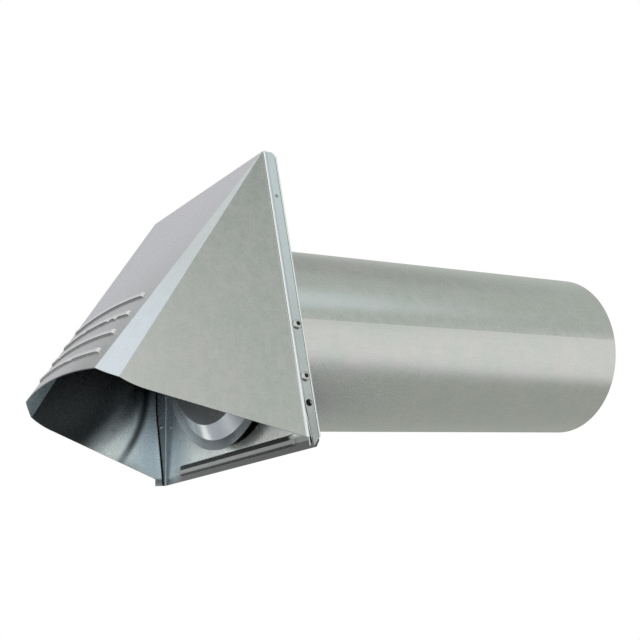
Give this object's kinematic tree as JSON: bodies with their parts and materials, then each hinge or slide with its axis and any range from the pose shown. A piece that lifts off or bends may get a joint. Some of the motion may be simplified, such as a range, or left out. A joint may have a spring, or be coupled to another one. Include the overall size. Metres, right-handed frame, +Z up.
{
  "type": "wall vent hood with tail pipe",
  "caption": "Galvanised sheet wall vent hood: sloped hood with pressed beads on a flanged wall plate, a swinging damper flap and a round tail pipe.",
  "frame": {"origin": "on the tail pipe's axis at the wall plate's back face, the middle of the hole in the wall", "axes": "+Z up, +Y along the tail pipe into the wall, the hood's front is -Y"},
  "size_m": [0.1666, 0.3544, 0.1556],
  "materials": {
    "galvanised_sheet": "galvanised, fine spangle",
    "galvanised_pipe": "galvanised, fine spangle",
    "flap_sheet": "bright rolled",
    "hardware": "bright plated"
  },
  "bodies": {
    "casing": {"hood": "galvanised_sheet", "wall_plate": "galvanised_sheet", "tail_pipe": "galvanised_pipe", "hinge_pin": "hardware", "rivets": "hardware"},
    "flap": {"damper_flap": "flap_sheet"}
  },
  "joints": [
    {"name": "flap_hinge", "type": "hinge", "parent": "casing", "child": "flap", "pos_m": [0, -0.00645, 0.066], "axis": [-1, 0, 0], "range_deg": [0, 32]}
  ]
}
